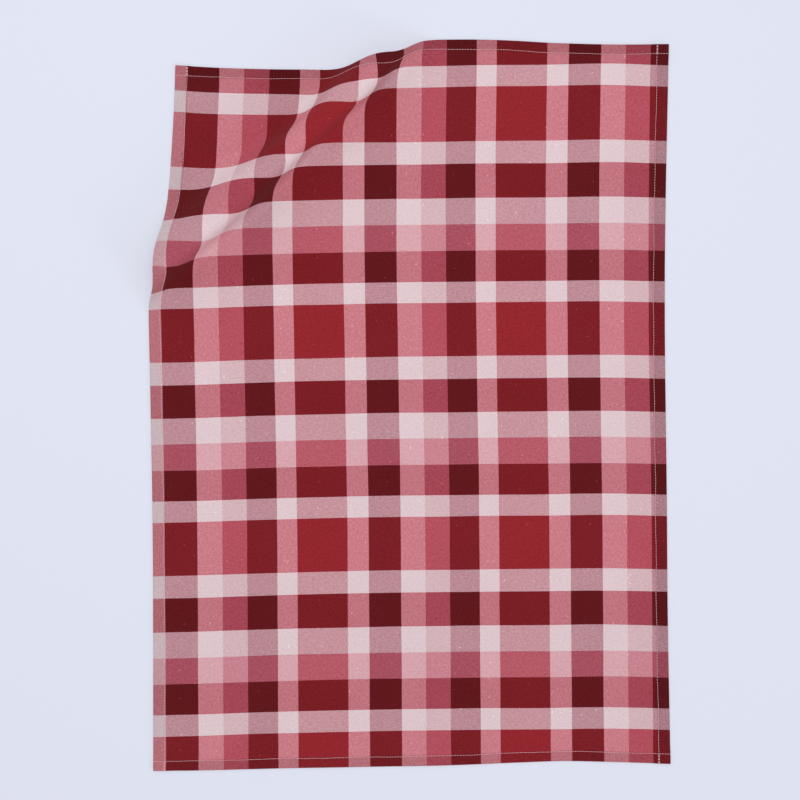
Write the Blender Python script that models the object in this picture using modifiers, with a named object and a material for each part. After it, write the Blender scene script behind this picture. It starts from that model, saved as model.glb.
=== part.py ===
"""Checked cotton tea towel, lying flat with its upper left corner pushed in.

The push has raised one soft ridge that runs slantwise from the left edge to
the top edge. Metres, +Z up. The origin is on the underside, in the middle of
the towel, and +Y runs along its length.
"""

import math

import bmesh
import bpy
import numpy as np

MM = 0.001

# Thickness of the woven cloth and of its hems, which are turned over twice.
CLOTH_THICKNESS = 1.2 * MM
HEM_THICKNESS = 2.0 * MM

# Hem widths, and the step down from a hem to the single cloth.
SIDE_HEM = 12.0 * MM
END_HEM = 10.0 * MM
HEM_STEP = 2.0 * MM

# Cells of the sheet's grid. Those that the ridge crosses are small, and their
# diagonals run along its crest.
CLOTH_WIDTH = 501.0 * MM
CLOTH_LENGTH = 702.0 * MM
RIDGE_REACH_ACROSS = 284.0 * MM
RIDGE_REACH_DOWN = 258.0 * MM
RIDGE_CELLS_ACROSS = 40
RIDGE_CELLS_DOWN = 43
FLAT_CELLS_ACROSS = 3
FLAT_CELLS_DOWN = 7

# Where the two side edges lie across the towel, at heights up it (mm).
SIDE_EDGES = {
    "up": (-350.0, -200.0, 0.0, 120.0, 205.0, 250.0, 300.0, 350.0),
    "left": (-249.8, -249.2, -249.3, -249.4, -248.7, -247.3, -246.6, -246.2),
    "right": (251.8, 250.3, 250.6, 250.9, 251.6, 252.0, 252.3, 252.4),
}

# Where the two end hems lie up the towel, at places across it (mm).
END_EDGES = {
    "across": (-250.0, -150.0, -95.0, -45.0, 0.0, 60.0, 105.0, 145.0, 190.0, 250.0),
    "top": (352.5, 352.5, 352.3, 350.5, 353.2, 353.0, 351.2, 348.6, 346.5, 348.5),
    "bottom": (-350.5, -351.5, -351.8, -352.0, -352.0, -351.0, -349.5, -348.5, -349.7, -350.5),
}

# How far the threads stand off a square lay: sideways, by height up the towel (mm),
# and how much wider the cloth is spread there (thousandths).
SIDE_DRIFT = {
    "up": (-350.0, -200.0, -100.0, 0.0, 50.0, 150.0, 250.0, 350.0),
    "shift": (1.8, 0.8, 0.1, -1.5, -2.3, -3.6, -3.7, -3.0),
    "spread": (1.0, 0.0, 0.0, 0.0, 0.5, 4.0, 7.5, 11.0),
}

# The same lengthways, by place across the towel, near its bottom edge and near its
# top edge (mm). The one goes over into the other between two heights.
LENGTH_DRIFT = {
    "across": (-250.0, -206.0, -158.0, -110.0, -60.0, -20.0, 30.0, 67.0, 135.0, 195.0, 250.0),
    "bottom": (-7.5, -6.7, -5.0, -3.6, -2.5, -1.7, -1.2, -0.7, -0.2, 0.4, -0.7),
    "top": (-3.0, -5.2, -5.5, -3.9, -2.6, -2.6, -1.9, -1.0, -0.5, 0.6, -1.2),
}
TOP_DRIFT_FROM = 130.0 * MM
TOP_DRIFT_TO = 330.0 * MM

# The ridge's crest passes this point of the flat cloth, and runs in this direction
# from the left edge to the top edge (degrees from +X).
CREST_ACROSS = -135.0 * MM
CREST_UP = 253.0 * MM
CREST_ANGLE = 42.8
CREST_OFFSET = 2.5 * MM

# Sections of the ridge (mm): place along the crest, cloth in the flank on the
# corner's side and in the flank on the towel's side, height of the crest, and
# how far the corner has slipped along the crest.
RIDGE_SECTIONS = {
    "along": (-165.0, -125.0, -45.0, 40.0, 115.0, 180.0),
    "outer": (57.0, 58.0, 57.0, 45.0, 52.0, 26.0),
    "inner": (41.0, 39.0, 45.0, 40.0, 42.0, 36.0),
    "height": (25.5, 27.5, 32.0, 29.5, 31.0, 22.0),
    "slip": (-1.0, -0.5, 2.5, 3.0, -2.5, -13.0),
}

# A flank's slope swells and fades as a half sine wave.
SLOPE_STEPS = 48
STEEPEST_SLOPE = 1.7

COTTON_COLOUR = (0.38, 0.09, 0.11, 1.0)
COTTON_ROUGHNESS = 0.9


def clear_scene():
    for item in list(bpy.data.objects):
        bpy.data.objects.remove(item, do_unlink=True)


def make_material():
    material = bpy.data.materials.new("checked_cotton")
    material.use_nodes = True
    shader = material.node_tree.nodes["Principled BSDF"]
    shader.inputs["Base Color"].default_value = COTTON_COLOUR
    shader.inputs["Roughness"].default_value = COTTON_ROUGHNESS
    shader.inputs["Metallic"].default_value = 0.0
    return material


def smooth_value(table, key, column, place):
    """A table's column at places in metres, on a smooth curve through its rows."""
    keys = np.array(table[key]) * MM
    values = np.array(table[column]) * MM
    slopes = np.gradient(values, keys)
    place = np.clip(place, keys[0], keys[-1])
    row = np.clip(np.searchsorted(keys, place) - 1, 0, len(keys) - 2)
    gap = keys[row + 1] - keys[row]
    part = (place - keys[row]) / gap
    start = values[row] * (1 + 2 * part) * (1 - part) ** 2
    end = values[row + 1] * (3 - 2 * part) * part ** 2
    lean = slopes[row] * (1 - part) ** 2 * part - slopes[row + 1] * (1 - part) * part ** 2
    return start + end + gap * lean


def flank_run(peak_slope, share):
    """Forward and upward run of the first share of a flank, for a flank of length 1."""
    middles = (np.arange(SLOPE_STEPS) + 0.5) / SLOPE_STEPS
    spots = np.multiply.outer(share, middles)
    slope = peak_slope[..., None] * np.sin(math.pi * spots)
    return share * np.cos(slope).mean(axis=-1), share * np.sin(slope).mean(axis=-1)


def peak_slope_for(rise):
    """The peak slope that lifts a flank of length 1 by this rise."""
    peaks = np.linspace(0.0, STEEPEST_SLOPE, 100)
    _, rises = flank_run(peaks, np.ones_like(peaks))
    return np.interp(rise, rises, peaks)


def ridge(across, up):
    """Sideways, lengthways and upward move of flat cloth as the ridge takes it up."""
    angle = math.radians(CREST_ANGLE)
    crest_way = (math.cos(angle), math.sin(angle))
    inward = (math.sin(angle), -math.cos(angle))
    from_crest = (across - CREST_ACROSS, up - CREST_UP)
    along = from_crest[0] * crest_way[0] + from_crest[1] * crest_way[1]
    off_crest = from_crest[0] * inward[0] + from_crest[1] * inward[1] - CREST_OFFSET

    outer = smooth_value(RIDGE_SECTIONS, "along", "outer", along)
    inner = smooth_value(RIDGE_SECTIONS, "along", "inner", along)
    height = smooth_value(RIDGE_SECTIONS, "along", "height", along)
    slip = smooth_value(RIDGE_SECTIONS, "along", "slip", along)
    outer_slope = peak_slope_for(height / outer)
    inner_slope = peak_slope_for(height / inner)

    # Each share is counted from its flank's foot. The cloth that a flank takes up
    # is what its level run falls short of its length.
    outer_share = np.clip(1 + off_crest / outer, 0, 1)
    inner_share = np.clip(1 - off_crest / inner, 0, 1)
    outer_run, outer_rise = flank_run(outer_slope, outer_share)
    inner_run, inner_rise = flank_run(inner_slope, inner_share)
    outer_whole, _ = flank_run(outer_slope, np.ones_like(outer))
    inner_whole, _ = flank_run(inner_slope, np.ones_like(inner))
    outer_taken = outer * ((1 - outer_whole) - (outer_share - outer_run))
    inner_taken = inner * (inner_share - inner_run)
    taken = outer_taken + inner_taken
    taken_in_all = outer * (1 - outer_whole) + inner * (1 - inner_whole)

    lift = np.where(off_crest < 0, outer * outer_rise, inner * inner_rise)
    slid = slip * taken / taken_in_all
    move_across = taken * inward[0] + slid * crest_way[0]
    move_up = taken * inward[1] + slid * crest_way[1]
    return move_across, move_up, lift


def laid_point(across, up):
    """Where a point of the flat cloth lies, on the cloth's underside."""
    ridge_across, ridge_up, lift = ridge(across, up)
    spread = smooth_value(SIDE_DRIFT, "up", "spread", up)
    side_drift = smooth_value(SIDE_DRIFT, "up", "shift", up)
    part = np.clip((up - TOP_DRIFT_FROM) / (TOP_DRIFT_TO - TOP_DRIFT_FROM), 0, 1)
    top_part = part * part * (3 - 2 * part)
    bottom_drift = smooth_value(LENGTH_DRIFT, "across", "bottom", across)
    top_drift = smooth_value(LENGTH_DRIFT, "across", "top", across)
    length_drift = bottom_drift + (top_drift - bottom_drift) * top_part
    x = across * (1 + spread) + side_drift + ridge_across
    y = up + length_drift + ridge_up
    return x, y, lift


def grid_lines(stretches):
    """Places of the grid lines, as shares of the whole, from (length, cells) rows."""
    places = [0.0]
    for length, cells in stretches:
        start = places[-1]
        places.extend(start + length * (cell + 1) / cells for cell in range(cells))
    return np.array(places) / places[-1]


def make_towel(collection, material):
    """One woven panel with its four turned hems, as a single sheet."""
    flat_across = CLOTH_WIDTH - 2 * (SIDE_HEM + HEM_STEP) - RIDGE_REACH_ACROSS
    flat_down = CLOTH_LENGTH - 2 * (END_HEM + HEM_STEP) - RIDGE_REACH_DOWN
    across_lines = grid_lines((
        (SIDE_HEM, 1),
        (HEM_STEP, 1),
        (RIDGE_REACH_ACROSS, RIDGE_CELLS_ACROSS),
        (flat_across, FLAT_CELLS_ACROSS),
        (HEM_STEP, 1),
        (SIDE_HEM, 1),
    ))
    up_lines = grid_lines((
        (END_HEM, 1),
        (HEM_STEP, 1),
        (flat_down, FLAT_CELLS_DOWN),
        (RIDGE_REACH_DOWN, RIDGE_CELLS_DOWN),
        (HEM_STEP, 1),
        (END_HEM, 1),
    ))
    columns = len(across_lines) - 1
    rows = len(up_lines) - 1

    grid = bmesh.new()
    bmesh.ops.create_grid(grid, x_segments=columns, y_segments=rows, size=0.5)
    column = np.array([round((vert.co.x + 0.5) * columns) for vert in grid.verts])
    row = np.array([round((vert.co.y + 0.5) * rows) for vert in grid.verts])

    side_share = across_lines[column]
    end_share = up_lines[row]
    rough_across = (side_share - 0.5) * CLOTH_WIDTH
    rough_up = (end_share - 0.5) * CLOTH_LENGTH
    left = smooth_value(SIDE_EDGES, "up", "left", rough_up)
    right = smooth_value(SIDE_EDGES, "up", "right", rough_up)
    bottom = smooth_value(END_EDGES, "across", "bottom", rough_across)
    top = smooth_value(END_EDGES, "across", "top", rough_across)
    across = left + (right - left) * side_share
    up = bottom + (top - bottom) * end_share
    for vert, x, y, z in zip(grid.verts, *laid_point(across, up)):
        vert.co = (x, y, z)

    bmesh.ops.triangulate(grid, faces=grid.faces[:], quad_method="FIXED")
    mesh = bpy.data.meshes.new("towel")
    grid.to_mesh(mesh)
    grid.free()
    mesh.materials.append(material)
    towel = bpy.data.objects.new("towel", mesh)
    collection.objects.link(towel)

    in_side_hem = (column <= 1) | (column >= columns - 1)
    in_end_hem = (row <= 1) | (row >= rows - 1)
    hem = towel.vertex_groups.new(name="hem")
    hem.add(np.flatnonzero(in_side_hem | in_end_hem).tolist(), 1.0, "REPLACE")

    sheet = towel.modifiers.new("sheet", "SOLIDIFY")
    sheet.thickness = HEM_THICKNESS
    sheet.vertex_group = hem.name
    sheet.thickness_vertex_group = CLOTH_THICKNESS / HEM_THICKNESS
    sheet.offset = 1.0
    sheet.use_even_offset = True
    return towel


def main():
    clear_scene()
    collection = bpy.data.collections.new("tea_towel")
    bpy.context.scene.collection.children.link(collection)
    make_towel(collection, make_material())


main()
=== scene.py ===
import math

import bpy
import numpy as np
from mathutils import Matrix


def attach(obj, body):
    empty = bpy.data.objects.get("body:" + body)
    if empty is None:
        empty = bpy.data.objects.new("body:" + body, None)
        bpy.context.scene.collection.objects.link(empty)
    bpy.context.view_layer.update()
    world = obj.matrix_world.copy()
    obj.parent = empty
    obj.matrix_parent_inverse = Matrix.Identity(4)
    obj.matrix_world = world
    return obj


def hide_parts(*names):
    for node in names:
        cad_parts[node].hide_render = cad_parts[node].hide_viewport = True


# A checked cotton tea towel that lies flat. Its upper left corner is pushed in,
# which raises one soft ridge from the left edge to the top edge.

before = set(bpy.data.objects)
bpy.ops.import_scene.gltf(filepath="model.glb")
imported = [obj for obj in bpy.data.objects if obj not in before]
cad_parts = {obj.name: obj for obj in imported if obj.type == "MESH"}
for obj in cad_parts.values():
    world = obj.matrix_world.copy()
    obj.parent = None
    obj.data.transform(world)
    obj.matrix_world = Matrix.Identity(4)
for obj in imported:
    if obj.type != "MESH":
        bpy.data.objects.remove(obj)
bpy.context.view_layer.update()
mm = 0.001


# Camera, light and floor

view = {
    "lens": 85.0,
    "sensor": 36.0,
    "imageSide": 800,
    "pixelsPerMm": 1.0295,
    "originPixel": (409.0, 402.0),  # where the middle of the towel shows
}

studio = {
    "floorColour": (0.368, 0.376, 0.423),
    "floorGlow": (0.372, 0.384, 0.442),  # a lit table, on which shadows are faint
    "floorSide": 6.0,
    "floorRoughness": 0.95,
    "skyColour": (0.97, 0.98, 1.0),
    "skyStrength": 0.715,
    "lamps": {  # one overhead, and a low one on either side
        "power": (7.5, 27.0, 3.0),
        "side": (1.0, 0.9, 0.9),
        "place": ((-0.08, 0.5, 1.5), (2.6, -2.1, 1.2), (-1.3, 1.3, 0.9)),
    },
}


def makeCamera():
    data = bpy.data.cameras.new("camera")
    data.lens = view["lens"]
    data.sensor_width = view["sensor"]
    camera = bpy.data.objects.new("camera", data)
    middle = view["imageSide"] / 2
    perPixel = mm / view["pixelsPerMm"]
    shownSide = view["imageSide"] * perPixel
    camera.location = (
        (middle - view["originPixel"][0]) * perPixel,
        (view["originPixel"][1] - middle) * perPixel,
        shownSide * view["lens"] / view["sensor"],
    )
    bpy.context.scene.collection.objects.link(camera)
    bpy.context.scene.camera = camera


def makeLight():
    lamps = studio["lamps"]
    for power, side, place in zip(lamps["power"], lamps["side"], lamps["place"]):
        data = bpy.data.lights.new("softLamp", "AREA")
        data.size = side
        data.energy = power
        lamp = bpy.data.objects.new("softLamp", data)
        lamp.location = place
        lamp.rotation_euler = (-lamp.location).to_track_quat("-Z", "Y").to_euler()
        bpy.context.scene.collection.objects.link(lamp)
    world = bpy.data.worlds.new("sky")
    world.use_nodes = True
    sky = world.node_tree.nodes["Background"]
    sky.inputs["Color"].default_value = (*studio["skyColour"], 1.0)
    sky.inputs["Strength"].default_value = studio["skyStrength"]
    bpy.context.scene.world = world
    bpy.context.scene.view_settings.view_transform = "Standard"


# How the cloth lies. Flat cloth is measured across and up from its middle, and
# the tables are in millimetres, as in the solid.

lay = {
    "sideEdges": {
        "up": (-350.0, -200.0, 0.0, 120.0, 205.0, 250.0, 300.0, 350.0),
        "left": (-249.8, -249.2, -249.3, -249.4, -248.7, -247.3, -246.6, -246.2),
        "right": (251.8, 250.3, 250.6, 250.9, 251.6, 252.0, 252.3, 252.4),
    },
    "endEdges": {
        "across": (-250.0, -150.0, -95.0, -45.0, 0.0, 60.0, 105.0, 145.0, 190.0, 250.0),
        "top": (352.5, 352.5, 352.3, 350.5, 353.2, 353.0, 351.2, 348.6, 346.5, 348.5),
        "bottom": (-350.5, -351.5, -351.8, -352.0, -352.0, -351.0, -349.5, -348.5, -349.7, -350.5),
    },
    "sideDrift": {
        "up": (-350.0, -200.0, -100.0, 0.0, 50.0, 150.0, 250.0, 350.0),
        "shift": (1.8, 0.8, 0.1, -1.5, -2.3, -3.6, -3.7, -3.0),
        "spread": (1.0, 0.0, 0.0, 0.0, 0.5, 4.0, 7.5, 11.0),  # in thousandths
    },
    "endDrift": {  # near the bottom edge and near the top edge
        "across": (-250.0, -206.0, -158.0, -110.0, -60.0, -20.0, 30.0, 67.0, 135.0, 195.0, 250.0),
        "bottom": (-7.5, -6.7, -5.0, -3.6, -2.5, -1.7, -1.2, -0.7, -0.2, 0.4, -0.7),
        "top": (-3.0, -5.2, -5.5, -3.9, -2.6, -2.6, -1.9, -1.0, -0.5, 0.6, -1.2),
    },
    "topDriftFrom": 130.0 * mm,
    "topDriftTo": 330.0 * mm,
    "crestPoint": (-135.0 * mm, 253.0 * mm),
    "crestAngle": 42.8,
    "crestOffset": 2.5 * mm,
    "ridge": {
        "along": (-165.0, -125.0, -45.0, 40.0, 115.0, 180.0),
        "outer": (57.0, 58.0, 57.0, 45.0, 52.0, 26.0),
        "inner": (41.0, 39.0, 45.0, 40.0, 42.0, 36.0),
        "height": (25.5, 27.5, 32.0, 29.5, 31.0, 22.0),
        "slip": (-1.0, -0.5, 2.5, 3.0, -2.5, -13.0),
    },
    "slopeSteps": 48,
    "slopeTries": 100,
    "steepest": 1.7,
    "normalStep": 0.5 * mm,
}


def smoothValue(table, key, column, place):
    # a table's column at places in metres, on a smooth curve through its rows
    keys = np.array(table[key]) * mm
    values = np.array(table[column]) * mm
    slopes = np.gradient(values, keys)
    place = np.clip(place, keys[0], keys[-1])
    row = np.clip(np.searchsorted(keys, place) - 1, 0, len(keys) - 2)
    gap = keys[row + 1] - keys[row]
    part = (place - keys[row]) / gap
    start = values[row] * (1 + 2 * part) * (1 - part) ** 2
    end = values[row + 1] * (3 - 2 * part) * part ** 2
    lean = slopes[row] * (1 - part) ** 2 * part - slopes[row + 1] * (1 - part) * part ** 2
    return start + end + gap * lean


def flankRun(peakSlope, share):
    # forward and upward run of the first share of a flank of length 1
    middles = (np.arange(lay["slopeSteps"]) + 0.5) / lay["slopeSteps"]
    spots = np.multiply.outer(share, middles)
    slope = peakSlope[..., None] * np.sin(math.pi * spots)
    return share * np.cos(slope).mean(axis=-1), share * np.sin(slope).mean(axis=-1)


def peakSlopeFor(rise):
    peaks = np.linspace(0.0, lay["steepest"], lay["slopeTries"])
    rises = flankRun(peaks, np.ones_like(peaks))[1]
    return np.interp(rise, rises, peaks)


def ridgeMove(across, up):
    # how the ridge moves flat cloth: across, up the towel, and off the surface
    angle = math.radians(lay["crestAngle"])
    crestWay = (math.cos(angle), math.sin(angle))
    inward = (math.sin(angle), -math.cos(angle))
    aside = across - lay["crestPoint"][0]
    above = up - lay["crestPoint"][1]
    along = aside * crestWay[0] + above * crestWay[1]
    offCrest = aside * inward[0] + above * inward[1] - lay["crestOffset"]
    outer, inner, height, slip = (
        smoothValue(lay["ridge"], "along", column, along)
        for column in ("outer", "inner", "height", "slip")
    )
    whole = np.ones_like(outer)
    outerSlope = peakSlopeFor(height / outer)
    innerSlope = peakSlopeFor(height / inner)
    outerShare = np.clip(1 + offCrest / outer, 0, 1)
    innerShare = np.clip(1 - offCrest / inner, 0, 1)
    outerRun, outerRise = flankRun(outerSlope, outerShare)
    innerRun, innerRise = flankRun(innerSlope, innerShare)
    outerLost = outer * (1 - flankRun(outerSlope, whole)[0])
    innerLost = inner * (1 - flankRun(innerSlope, whole)[0])
    taken = outerLost - outer * (outerShare - outerRun) + inner * (innerShare - innerRun)
    slid = slip * taken / (outerLost + innerLost)
    lift = np.where(offCrest < 0, outer * outerRise, inner * innerRise)
    return taken * inward[0] + slid * crestWay[0], taken * inward[1] + slid * crestWay[1], lift


def layPoint(across, up):
    # where a point of the flat cloth lies, on the cloth's underside
    ridgeAcross, ridgeUp, lift = ridgeMove(across, up)
    spread = smoothValue(lay["sideDrift"], "up", "spread", up)
    x = across * (1 + spread) + smoothValue(lay["sideDrift"], "up", "shift", up) + ridgeAcross
    part = np.clip((up - lay["topDriftFrom"]) / (lay["topDriftTo"] - lay["topDriftFrom"]), 0, 1)
    topPart = part * part * (3 - 2 * part)
    bottomDrift = smoothValue(lay["endDrift"], "across", "bottom", across)
    topDrift = smoothValue(lay["endDrift"], "across", "top", across)
    y = up + bottomDrift + (topDrift - bottomDrift) * topPart + ridgeUp
    return np.stack((x, y, lift), axis=-1)


def layNormal(across, up):
    step = lay["normalStep"]
    acrossWay = layPoint(across + step, up) - layPoint(across - step, up)
    upWay = layPoint(across, up + step) - layPoint(across, up - step)
    normal = np.cross(acrossWay, upWay)
    return normal / np.linalg.norm(normal, axis=-1, keepdims=True)


# The cloth and its hems

towel = {
    "width": 501.0 * mm,
    "length": 702.0 * mm,
    "clothThickness": 0.5 * mm,
    "hemThickness": 1.45 * mm,  # three layers, pressed
    "sideHem": 12.0 * mm,
    "endHem": 10.4 * mm,
    "sideSeam": 11.0 * mm,
    "endSeam": 9.4 * mm,
    "seamDip": 0.32 * mm,
    "seamDipWidth": 0.8 * mm,
    "underDip": 1.2,  # how deep the under face dips at a seam, against the upper face
    "underRound": 0.6,  # and how far it rises towards the outer edge, in the same way
    "hemFall": 3.6 * mm,  # how softly the cloth comes down beside a hem
    "hemShadeWidth": 0.8 * mm,
    "edgeRound": 0.5 * mm,
    "edgeRoundDepth": 0.45 * mm,
    "puckerHeight": 0.16 * mm,
    "puckerReach": 7.0 * mm,
    "puckers": {"length": (13.0, 8.3, 21.5), "share": (0.45, 0.25, 0.3), "phase": (0.4, 2.1, 4.4)},
    "waves": {
        "length": (118.0, 83.0, 57.0, 46.0, 71.0),
        "angle": (24.0, 97.0, -38.0, 61.0, 142.0),
        "height": (0.10, 0.08, 0.05, 0.035, 0.06),
        "phase": (0.3, 1.9, 3.6, 5.0, 2.7),
    },
    "edgeLines": (0.0, 0.2, 0.6, 1.3, 3.0),
    "seamLines": (-3.0, -1.5, -0.8, -0.35, 0.0, 0.35, 0.7, 1.0, 1.08, 1.6, 2.6, 4.0, 6.0, 9.0),
    "ridgeReachAcross": 300.0 * mm,
    "ridgeReachDown": 272.0 * mm,
    "ridgeCell": 2.8 * mm,
    "ridgeCellUp": 2.4 * mm,
    "flatCell": 4.6 * mm,
}


def softWaves(across, up):
    # the slight unevenness of cloth that lies on a table
    total = np.zeros_like(across)
    waves = towel["waves"]
    rows = zip(waves["length"], waves["angle"], waves["height"], waves["phase"])
    for length, angle, height, phase in rows:
        turn = math.radians(angle)
        way = across * math.cos(turn) + up * math.sin(turn)
        total += height * mm * (1 + np.sin(way * math.tau / (length * mm) + phase))
    return total


def pucker(along):
    total = np.zeros_like(along)
    puckers = towel["puckers"]
    for length, share, phase in zip(puckers["length"], puckers["share"], puckers["phase"]):
        total += share * (0.5 + 0.5 * np.sin(along * math.tau / (length * mm) + phase))
    return total


def edgeDistances(across, up):
    left = across - smoothValue(lay["sideEdges"], "up", "left", up)
    right = smoothValue(lay["sideEdges"], "up", "right", up) - across
    bottom = up - smoothValue(lay["endEdges"], "across", "bottom", across)
    top = smoothValue(lay["endEdges"], "across", "top", across) - up
    return np.minimum(left, right), np.minimum(bottom, top)


def clothHeights(across, up):
    # the two faces of the cloth, as heights over where the cloth lies
    fromSide, fromEnd = edgeDistances(across, up)
    extra = towel["hemThickness"] - towel["clothThickness"]
    under = softWaves(across, up)
    over = under + towel["clothThickness"]
    hems = (
        (fromSide, up, towel["sideHem"], towel["sideSeam"]),
        (fromEnd, across, towel["endHem"], towel["endSeam"]),
    )
    for distance, along, width, seam in hems:
        past = np.maximum(distance - width, 0)
        fall = np.exp(-(past / towel["hemFall"]) ** 2)
        reach = np.exp(-((distance - seam) / towel["puckerReach"]) ** 2)
        dip = towel["seamDip"] * np.exp(-((distance - seam) / towel["seamDipWidth"]) ** 2)
        ripple = towel["puckerHeight"] * reach * pucker(along)
        roundOff = towel["edgeRoundDepth"] * np.exp(-distance / towel["edgeRound"])
        over = over + extra * fall - dip + ripple - roundOff
        raised = np.where(distance > width, extra * fall, 0)  # the fall beside the hem
        under = under + raised + towel["underDip"] * dip + ripple + towel["underRound"] * roundOff
    return under, over


def hemLines(seam):
    return [line * mm for line in towel["edgeLines"]] + [seam + line * mm for line in towel["seamLines"]]


def evenLines(start, end, cell):
    cells = max(1, round((end - start) / cell))
    return list(np.linspace(start, end, cells + 1)[1:])


def clothLines():
    # grid lines, as distances from the left edge and from the bottom edge
    side = hemLines(towel["sideSeam"])
    end = hemLines(towel["endSeam"])
    acrossLines = side + evenLines(side[-1], towel["ridgeReachAcross"], towel["ridgeCell"])
    acrossLines += evenLines(towel["ridgeReachAcross"], towel["width"] - side[-1], towel["flatCell"])
    acrossLines += [towel["width"] - line for line in reversed(side[:-1])]
    ridgeStart = towel["length"] - towel["ridgeReachDown"]
    upLines = end + evenLines(end[-1], ridgeStart, towel["flatCell"])
    upLines += evenLines(ridgeStart, towel["length"] - end[-1], towel["ridgeCellUp"])
    upLines += [towel["length"] - line for line in reversed(end[:-1])]
    return np.array(acrossLines) / towel["width"], np.array(upLines) / towel["length"]


def flatCloth():
    # the flat cloth's grid: its places across and up, inside its crooked edges
    acrossShare, upShare = np.meshgrid(*clothLines())
    roughAcross = (acrossShare - 0.5) * towel["width"]
    roughUp = (upShare - 0.5) * towel["length"]
    left = smoothValue(lay["sideEdges"], "up", "left", roughUp)
    right = smoothValue(lay["sideEdges"], "up", "right", roughUp)
    bottom = smoothValue(lay["endEdges"], "across", "bottom", roughAcross)
    top = smoothValue(lay["endEdges"], "across", "top", roughAcross)
    return left + (right - left) * acrossShare, bottom + (top - bottom) * upShare


def meshObject(name, points, faces):
    mesh = bpy.data.meshes.new(name)
    mesh.from_pydata(points.tolist(), [], faces)
    mesh.shade_smooth()
    piece = bpy.data.objects.new(name, mesh)
    bpy.context.scene.collection.objects.link(piece)
    return piece


def pullAbove(pull, across, up):
    # a pull on the yarns that grows up the towel
    part = np.clip((up - pull["from"]) / (pull["to"] - pull["from"]), 0, 1)
    return smoothValue(pull, "across", "shift", across) * part * part * (3 - 2 * part)


def markPlaces(piece, across, up):
    # keeps each point's place in the weave, which the colours follow, and where
    # the hems' three layers are, which get painted shade
    fromSide, fromEnd = edgeDistances(across, up)
    intoHem = np.maximum(towel["sideHem"] - fromSide, towel["endHem"] - fromEnd)
    layers = np.clip(0.5 + intoHem / towel["hemShadeWidth"], 0, 1)
    acrossWeave = across + smoothValue(check["acrossPull"], "across", "shift", across)
    acrossWeave += pullAbove(check["cornerPull"], across, up) + pullAbove(check["topPull"], across, up)
    upWeave = up + smoothValue(check["upPull"], "up", "shift", up)
    upWeave += pullAbove(check["bandPull"], across, up)
    places = np.stack((acrossWeave, upWeave, layers), axis=-1)
    places = np.concatenate((places.reshape(-1, 3), places.reshape(-1, 3))).astype(np.float32)
    layer = piece.data.attributes.new("clothPlace", "FLOAT_VECTOR", "POINT")
    layer.data.foreach_set("vector", places.ravel())


def makeCloth():
    across, up = flatCloth()
    under, over = clothHeights(across, up)
    base = layPoint(across, up)
    normal = layNormal(across, up)
    rows, columns = across.shape
    count = rows * columns
    points = np.concatenate([
        (base + normal * height[..., None]).reshape(-1, 3) for height in (over, under)
    ])
    corner = np.arange(count).reshape(rows, columns)
    loops = [corner[:-1, :-1], corner[:-1, 1:], corner[1:, 1:], corner[1:, :-1]]
    overFaces = np.stack(loops, axis=-1).reshape(-1, 4)
    underFaces = overFaces[:, ::-1] + count
    rim = np.concatenate((corner[0, :-1], corner[:-1, -1], corner[-1, :0:-1], corner[:0:-1, 0]))
    ahead = np.roll(rim, -1)
    rimFaces = np.stack((rim, rim + count, ahead + count, ahead), axis=-1)
    faces = np.concatenate((overFaces, underFaces, rimFaces)).tolist()
    cloth = meshObject("wovenCloth", points, faces)
    markPlaces(cloth, across, up)
    print("cloth:", len(points), "points,", len(faces), "faces")
    return cloth


# The seams of the hems, as machine stitches in real thread

seams = {
    "stitch": 2.25 * mm,
    "gap": 0.4 * mm,
    "thread": 0.46 * mm,
    "sides": 6,
    "ringPlaces": (0.0, 0.14, 0.5, 0.86, 1.0),
    "ringLifts": (-0.45, 0.18, 0.34, 0.18, -0.45),  # in thread thicknesses
    "ringSizes": (0.45, 0.9, 1.0, 0.9, 0.45),
    "wander": 0.3 * mm,
    "wanderLengths": (74.0 * mm, 20.0 * mm),
    "wanderShares": (0.75, 0.25),
    "lookAhead": 0.1 * mm,
    "lockLength": 9.0 * mm,  # stitched forth and back at the ends of the side seams
    "lockAside": 0.42 * mm,
    "fromEdge": 0.4 * mm,
}


def seamWander(along, phase):
    slowLength, quickLength = seams["wanderLengths"]
    slowShare, quickShare = seams["wanderShares"]
    slow = np.sin(along * math.tau / slowLength + phase)
    quick = np.sin(along * math.tau / quickLength + 2 * phase)
    return seams["wander"] * (slowShare * slow + quickShare * quick)


def sideSeam(edge, aside=0.0):
    # a seam that runs up the towel beside its left or right edge
    inward = 1 if edge == "left" else -1

    def place(up):
        line = smoothValue(lay["sideEdges"], "up", edge, up)
        reach = towel["sideSeam"] + aside + seamWander(up, len(edge))
        return line + inward * reach, up

    return place


def endSeam(edge, aside=0.0):
    inward = 1 if edge == "bottom" else -1

    def place(across):
        line = smoothValue(lay["endEdges"], "across", edge, across)
        reach = towel["endSeam"] + aside + seamWander(across, len(edge))
        return across, line + inward * reach

    return place


def seamRuns():
    # each run of stitches, from edge to edge: its line, its start and its end
    acrossReach = towel["width"] / 2 - towel["sideSeam"]
    upReach = towel["length"] / 2 - towel["endSeam"]
    sideAt = {"left": -acrossReach, "right": acrossReach}
    endAt = {"bottom": -upReach, "top": upReach}
    margin = seams["fromEdge"]
    lock = seams["lockLength"]
    runs = []
    for edge, across in sideAt.items():
        bottom = smoothValue(lay["endEdges"], "across", "bottom", across) + margin
        top = smoothValue(lay["endEdges"], "across", "top", across) - margin
        runs.append((sideSeam(edge), bottom, top))
        for aside in (-seams["lockAside"], seams["lockAside"]):
            runs.append((sideSeam(edge, aside), top - lock, top))
            runs.append((sideSeam(edge, aside), bottom, bottom + lock))
    for edge, up in endAt.items():
        left = smoothValue(lay["sideEdges"], "up", "left", up) + margin
        right = smoothValue(lay["sideEdges"], "up", "right", up) - margin
        runs.append((endSeam(edge), left, right))
    return runs


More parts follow.
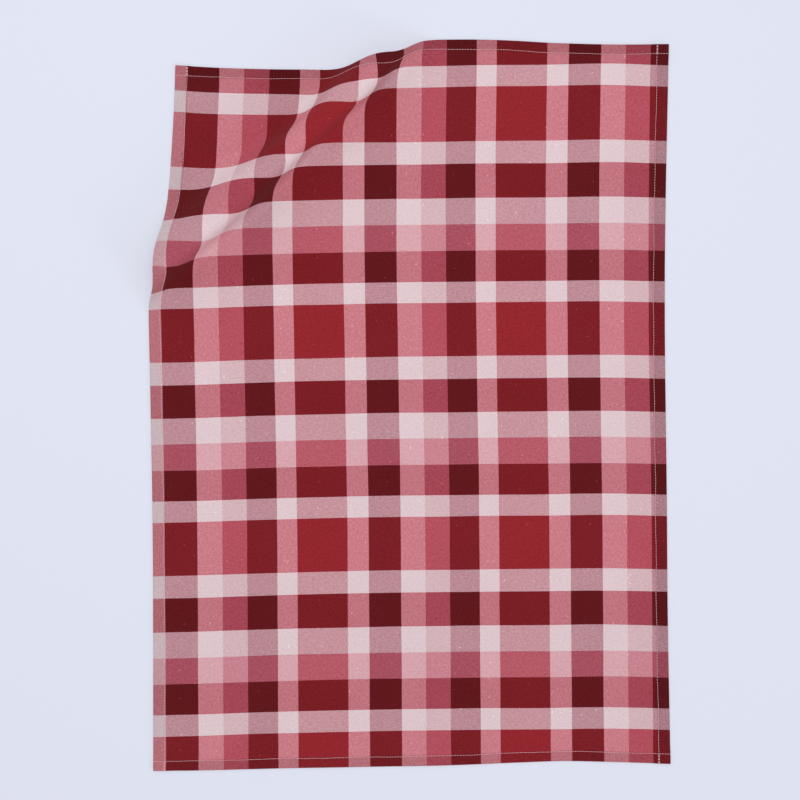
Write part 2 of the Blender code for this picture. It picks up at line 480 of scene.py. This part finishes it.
def stitchRings(line, start, end, face):
    # rings round each stitch of a run, on the upper face (1) or the under face (-1)
    count = round((end - start) / (seams["stitch"] + seams["gap"]))
    starts = np.linspace(start, end, count, endpoint=False)
    along = starts[:, None] + np.array(seams["ringPlaces"]) * seams["stitch"]
    across, up = line(along)
    nextAcross, nextUp = line(along + seams["lookAhead"])
    under, over = clothHeights(across, up)
    height = over if face > 0 else under
    normal = layNormal(across, up)
    lift = face * np.array(seams["ringLifts"]) * seams["thread"]
    centre = layPoint(across, up) + normal * (height + lift)[..., None]
    way = layPoint(nextAcross, nextUp) - layPoint(across, up)
    way /= np.linalg.norm(way, axis=-1, keepdims=True)
    side = np.cross(normal, way)
    turns = np.arange(seams["sides"]) * math.tau / seams["sides"]
    radius = np.array(seams["ringSizes"])[:, None, None] * seams["thread"] / 2
    spokes = (
        side[:, :, None] * np.cos(turns)[:, None] - normal[:, :, None] * np.sin(turns)[:, None]
    )
    return centre[:, :, None] + spokes * radius


def stitchFaces(stitches):
    # the faces of one stitch, repeated for each
    rings = len(seams["ringPlaces"])
    sides = seams["sides"]
    one = [
        (ring * sides + side, ring * sides + (side + 1) % sides,
         (ring + 1) * sides + (side + 1) % sides, (ring + 1) * sides + side)
        for ring in range(rings - 1) for side in range(sides)
    ]
    ends = [tuple(reversed(range(sides))), tuple((rings - 1) * sides + side for side in range(sides))]
    size = rings * sides
    return [
        tuple(corner + size * stitch for corner in face)
        for stitch in range(stitches) for face in one + ends
    ]


def makeSeams():
    rings = []
    for face in (1, -1):
        for line, start, end in seamRuns():
            rings.append(stitchRings(line, start, end, face))
    rings = np.concatenate(rings)
    thread = meshObject("hemSeams", rings.reshape(-1, 3), stitchFaces(len(rings)))
    print("seams:", len(rings), "stitches,", len(thread.data.polygons), "faces")
    return thread


# Finishes. A Wire is a node's output, and Python's own signs add Math nodes to it.

class Wire:
    def __init__(self, finish, socket):
        self.finish = finish
        self.socket = socket

    def math(self, operation, *others):
        values = dict(enumerate((self, *others)))
        return self.finish.node("Math", {"operation": operation}, values)

    def swapped(self, operation, first):
        return self.finish.node("Math", {"operation": operation}, {0: first, 1: self})

    def __add__(self, other):
        return self.math("ADD", other)

    def __radd__(self, other):
        return self.math("ADD", other)

    def __sub__(self, other):
        return self.math("SUBTRACT", other)

    def __rsub__(self, other):
        return self.swapped("SUBTRACT", other)

    def __mul__(self, other):
        return self.math("MULTIPLY", other)

    def __rmul__(self, other):
        return self.math("MULTIPLY", other)

    def __truediv__(self, other):
        return self.math("DIVIDE", other)

    def __rtruediv__(self, other):
        return self.swapped("DIVIDE", other)

    def __pow__(self, other):
        return self.math("POWER", other)

    def __rpow__(self, other):
        return self.swapped("POWER", other)


class Finish:
    def __init__(self, name):
        self.material = bpy.data.materials.new(name)
        self.material.use_nodes = True
        self.tree = self.material.node_tree
        self.tree.nodes.clear()

    def node(self, kind, settings=None, inputs=None, output=0):
        made = self.tree.nodes.new("ShaderNode" + kind)
        for name, value in (settings or {}).items():
            setattr(made, name, value)
        for name, value in (inputs or {}).items():
            if isinstance(value, Wire):
                self.tree.links.new(value.socket, made.inputs[name])
            else:
                made.inputs[name].default_value = value
        if isinstance(output, tuple):
            return [Wire(self, made.outputs[name]) for name in output]
        return Wire(self, made.outputs[output]) if made.outputs else None

    def blend(self, share, first, second):
        return self.node("Mix", {"data_type": "RGBA"}, {0: share, 6: first, 7: second}, 2)

    def stripes(self, place, repeat):
        # dyed stripes that repeat along a place in mm; each starts where the last ends
        inRepeat = place.math("FLOORED_MODULO", sum(width for _, width in repeat))
        colour = (*check["yarns"][repeat[0][0]], 1.0)
        reach = 0.0
        for (_, width), (yarn, _) in zip(repeat, repeat[1:]):
            reach += width
            dyed = (*check["yarns"][yarn], 1.0)
            colour = self.blend(inRepeat.math("GREATER_THAN", reach), colour, dyed)
        return colour

    def noise(self, place, scale, detail=2.0, roughness=0.5):
        return self.node("TexNoise", {}, {
            "Vector": place, "Scale": scale, "Detail": detail, "Roughness": roughness,
        }) * 2 - 1

    def shader(self, inputs):
        surface = self.node("BsdfPrincipled", {}, inputs, "BSDF")
        self.node("OutputMaterial", {}, {"Surface": surface})
        return self.material


# The check. Widths run from left to right and from top to bottom, in mm, and letters
# name the yarns: d dark red, r red, p pink, w the warp's off-white, o the weft's.

check = {
    "yarns": {
        "d": (0.118, 0.0068, 0.0094),
        "r": (0.296, 0.0182, 0.0253),
        "p": (0.597, 0.233, 0.278),
        "w": (0.780, 0.548, 0.579),
        "o": (0.730, 0.620, 0.644),
    },
    "acrossStart": -237.3,
    "acrossRepeat": (
        ("d", 31.1), ("w", 23.9), ("p", 24.1), ("d", 28.9), ("w", 19.2), ("r", 49.1), ("w", 20.6),
    ),
    "upStart": 232.1,
    "upRepeat": (
        ("d", 33.0), ("o", 25.3), ("p", 25.5), ("d", 30.0), ("o", 20.5), ("r", 52.0), ("o", 21.75),
    ),
    "acrossPull": {  # how far the yarns are packed or pulled off an even spacing
        "across": (-238.0, -150.0, -50.0, 50.0, 140.0, 235.0),
        "shift": (0.0, -0.8, -1.05, -0.5, -0.1, 0.3),
    },
    "upPull": {
        "up": (-350.0, -280.0, -200.0, -110.0, -34.0, 30.0, 118.0, 200.0, 255.0, 308.0, 350.0),
        "shift": (-0.7, -0.9, -0.6, -0.45, 0.0, 0.5, 0.5, 0.2, -0.35, -1.45, -2.3),
    },
    "cornerPull": {  # the warp round the pushed-in corner
        "across": (-250.0, -237.0, -205.0, -180.0, -155.0, -130.0, -105.0),
        "shift": (-2.2, -1.7, -0.3, 0.9, 1.2, 0.4, 0.0),
        "from": 225.0 * mm,
        "to": 290.0 * mm,
    },
    "topPull": {  # the warp along the top edge
        "across": (-250.0, -237.0, -205.0, -180.0, -155.0, -125.0, -85.0, -62.0, -42.0, -18.0, 10.0),
        "shift": (0.0, -0.1, -0.8, -1.5, -2.4, -2.4, -2.6, -4.0, -2.0, -1.1, 0.0),
        "from": 300.0 * mm,
        "to": 350.0 * mm,
    },
    "bandPull": {  # the weft at the top end of the ridge
        "across": (-160.0, -130.0, -105.0, -80.0, -62.0, -45.0, -30.0),
        "shift": (0.0, 0.6, 1.8, 3.2, 2.6, 0.4, 0.0),
        "from": 285.0 * mm,
        "to": 318.0 * mm,
    },
    "yarnPitch": 0.46,
    "warpShare": (0.477, 0.442, 0.449),  # of red, green and blue, where two yarns cross
    "mixPower": (-0.65, 0.17, 0.34),
    "fuzz": (0.73, 0.36, 0.28),  # pale fibre of the one yarn over the other
    "yarnContrast": 0.24,
}


weave = {
    "waver": 0.55,  # how far the yarns stray, in mm
    "waverScale": (0.011, 0.03),
    "yarnTone": 0.26,
    "yarnCover": 0.115,  # how unevenly one yarn covers the other
    "yarnToneLength": 4.0,
    "yarnToneStep": 0.73,  # how unlike the next yarn's tone is
    "cloudTone": 0.09,
    "cloudScale": 0.02,
    "grainTone": 0.43,
    "grainScale": 0.5,
    "toneEase": 0.95,  # pale yarns show less of it
    "hemPaintedShade": 0.22,  # painted shade: three layers let less of the pale ground shine through
    "slubSpacing": 15.0,
    "slubShare": 0.18,
    "slubLight": 1.7,
    "slubFibre": 0.025,
    "slubStretch": ((1.0, 0.45, 1.0), (0.45, 1.0, 1.0)),  # along the warp, along the weft
    "slubShift": (0.0, 41.0),
    "slubSize": 0.028,  # the smallest, as a share of the spacing
    "slubSizeMore": 0.02,  # what chance adds to it
    "darkest": 0.002,
    "palest": 0.86,
    "yarnDip": 0.5,  # how far a yarn sinks beside the one that it crosses
    "slubHeight": 1.2,
    "lintScale": 1.1,
    "lintHeight": 0.35,
    "bumpDepth": 0.09 * mm,
    "roughness": 0.88,
    "toneRoughness": 0.25,
    "specular": 0.06,
    "sheen": 0.03,
    "sheenRoughness": 0.6,
    "sheenTint": (1.0, 0.9, 0.9, 1.0),
}


def clothFinish():
    finish = Finish("yarnDyedCotton")
    place = finish.node("Attribute", {"attribute_name": "clothPlace"}, {}, "Vector")
    acrossMetres, upMetres, layers = finish.node("SeparateXYZ", {}, {0: place}, ("X", "Y", "Z"))
    across = acrossMetres / mm
    up = upMetres / mm
    millimetres = finish.node("CombineXYZ", {}, {"X": across, "Y": up})

    # the yarns stray a little, and the stripes with them; Z only keeps the noises apart
    slow, quick = weave["waverScale"]
    acrossPlace = finish.node("CombineXYZ", {}, {"X": across * quick, "Y": up * slow, "Z": 3.0})
    upPlace = finish.node("CombineXYZ", {}, {"X": across * slow, "Y": up * quick, "Z": 9.0})
    strayAcross = across + finish.noise(acrossPlace, 1.0) * weave["waver"]
    strayUp = up + finish.noise(upPlace, 1.0) * weave["waver"]

    # whole yarns, and which of the two is on top
    pitch = check["yarnPitch"]
    warp = strayAcross / pitch
    weft = strayUp / pitch
    warpNumber = warp.math("FLOOR")
    weftNumber = weft.math("FLOOR")
    warpOnTop = ((warpNumber + weftNumber) / 2).math("FRACT") * 2
    warpPart = warp.math("FRACT")
    weftPart = weft.math("FRACT")

    warpColour = finish.stripes((warpNumber + 0.5) * pitch - check["acrossStart"], check["acrossRepeat"])
    weftColour = finish.stripes(check["upStart"] - (weftNumber + 0.5) * pitch, check["upRepeat"])
    parts = ("Red", "Green", "Blue")
    warpParts = finish.node("SeparateColor", {}, {0: warpColour}, parts)
    weftParts = finish.node("SeparateColor", {}, {0: weftColour}, parts)

    # each yarn has its own depth of dye, which changes slowly along it
    length = weave["yarnToneLength"]
    step = weave["yarnToneStep"]
    warpSpot = finish.node("CombineXYZ", {}, {"X": warpNumber * step, "Y": up / length, "Z": 1.0})
    weftSpot = finish.node("CombineXYZ", {}, {"X": across / length, "Y": weftNumber * step, "Z": 5.0})
    warpTone = finish.noise(warpSpot, 1.0, 1.0)
    weftTone = finish.noise(weftSpot, 1.0, 1.0)
    uneven = (warpTone - weftTone) * weave["yarnCover"]
    tone = (warpTone * warpOnTop + weftTone * (1 - warpOnTop)) * weave["yarnTone"]
    tone = tone + finish.noise(millimetres, weave["cloudScale"], 3.0) * weave["cloudTone"]
    tone = tone + finish.noise(millimetres, weave["grainScale"], 1.0) * weave["grainTone"]

    # slubs: short thick places in the yarn, with loose pale fibre
    slubs = []
    for stretch, shift in zip(weave["slubStretch"], weave["slubShift"]):
        spot = finish.node("VectorMath", {"operation": "MULTIPLY_ADD"}, {
            0: millimetres, 1: stretch, 2: (shift, shift, 0.0),
        })
        distance, colourOfCell = finish.node("TexVoronoi", {"voronoi_dimensions": "2D"}, {
            "Vector": spot, "Scale": 1 / weave["slubSpacing"],
        }, ("Distance", "Color"))
        chance = finish.node("SeparateColor", {}, {0: colourOfCell}, parts)
        chosen = chance[0].math("LESS_THAN", weave["slubShare"])
        size = chance[1] * weave["slubSizeMore"] + weave["slubSize"]
        slubs.append((1 - distance / size).math("MAXIMUM", 0.0) * chosen)
    slub = (slubs[0] + slubs[1]).math("MINIMUM", 1.0)

    # the pale fibre of one yarn lies over the other, and the hems get painted shade
    crossed = {}
    settings = zip(parts, warpParts, weftParts, check["warpShare"], check["mixPower"], check["fuzz"])
    for part, warpDye, weftDye, share, power, fuzz in settings:
        cover = share + uneven
        gap = warpDye - weftDye
        mixed = (warpDye ** power * cover + weftDye ** power * (1 - cover)) ** (1 / power)
        mixed = mixed + gap * gap * fuzz
        shown = mixed + gap * (warpOnTop - 0.5) * check["yarnContrast"]
        # painted shade darkens the hems, where three layers let less of the pale ground shine through
        toned = shown * (1 + tone * (weave["toneEase"] - mixed) - layers * weave["hemPaintedShade"])
        lightened = toned * (1 + slub * (1 - mixed) * weave["slubLight"]) + slub * weave["slubFibre"]
        crossed[part] = lightened.math("MAXIMUM", weave["darkest"]).math("MINIMUM", weave["palest"])
    colour = finish.node("CombineColor", {}, crossed, "Color")

    # a yarn is round, and dips where it goes under
    warpRound = (warpPart * math.pi).math("SINE")
    weftRound = (weftPart * math.pi).math("SINE")
    dip = weave["yarnDip"]
    warpHigh = warpRound * (weftRound * dip + (1 - dip)) * warpOnTop
    weftHigh = weftRound * (warpRound * dip + (1 - dip)) * (1 - warpOnTop)
    lint = finish.noise(millimetres, weave["lintScale"], 3.0)
    height = warpHigh + weftHigh + slub * weave["slubHeight"] + lint * weave["lintHeight"]
    normal = finish.node("Bump", {}, {
        "Strength": 1.0, "Distance": weave["bumpDepth"], "Height": height,
    }, "Normal")
    roughness = tone * weave["toneRoughness"] + weave["roughness"]
    return finish.shader({
        "Base Color": colour, "Roughness": roughness, "Normal": normal,
        "Specular IOR Level": weave["specular"], "Sheen Weight": weave["sheen"],
        "Sheen Roughness": weave["sheenRoughness"], "Sheen Tint": weave["sheenTint"],
    })


threadLook = {
    "colour": (0.86, 0.55, 0.58, 1.0),
    "shade": (0.72, 0.37, 0.41, 1.0),
    "twist": 900.0,
    "twistStrength": 0.5,
    "twistDepth": 0.05 * mm,
    "roughness": 0.7,
    "specular": 0.25,
}


def threadFinish():
    finish = Finish("paleSewingThread")
    place = finish.node("TexCoord", {}, {}, "Object")
    wisp = finish.noise(place, threadLook["twist"], 2.0) * 0.5 + 0.5
    colour = finish.blend(wisp, threadLook["colour"], threadLook["shade"])
    normal = finish.node("Bump", {}, {
        "Strength": threadLook["twistStrength"], "Distance": threadLook["twistDepth"],
        "Height": wisp,
    }, "Normal")
    return finish.shader({
        "Base Color": colour, "Roughness": threadLook["roughness"], "Normal": normal,
        "Specular IOR Level": threadLook["specular"],
    })


def floorFinish():
    finish = Finish("paleFloor")
    return finish.shader({
        "Base Color": (*studio["floorColour"], 1.0), "Roughness": studio["floorRoughness"],
        "Specular IOR Level": 0.0,
        "Emission Color": (*studio["floorGlow"], 1.0), "Emission Strength": 1.0,
    })


def makeFloor():
    half = studio["floorSide"] / 2
    corners = np.array(((-half, -half, 0), (half, -half, 0), (half, half, 0), (-half, half, 0)))
    floor = meshObject("floor", corners, [(0, 1, 2, 3)])
    floor.data.materials.append(floorFinish())


makeCamera()
makeLight()
makeFloor()
print("camera, light and floor are set")

cloth = makeCloth()
cloth.data.materials.append(clothFinish())
thread = makeSeams()
thread.data.materials.append(threadFinish())
print("finishes are on")

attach(cloth, "root")
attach(thread, "root")
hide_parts("towel")
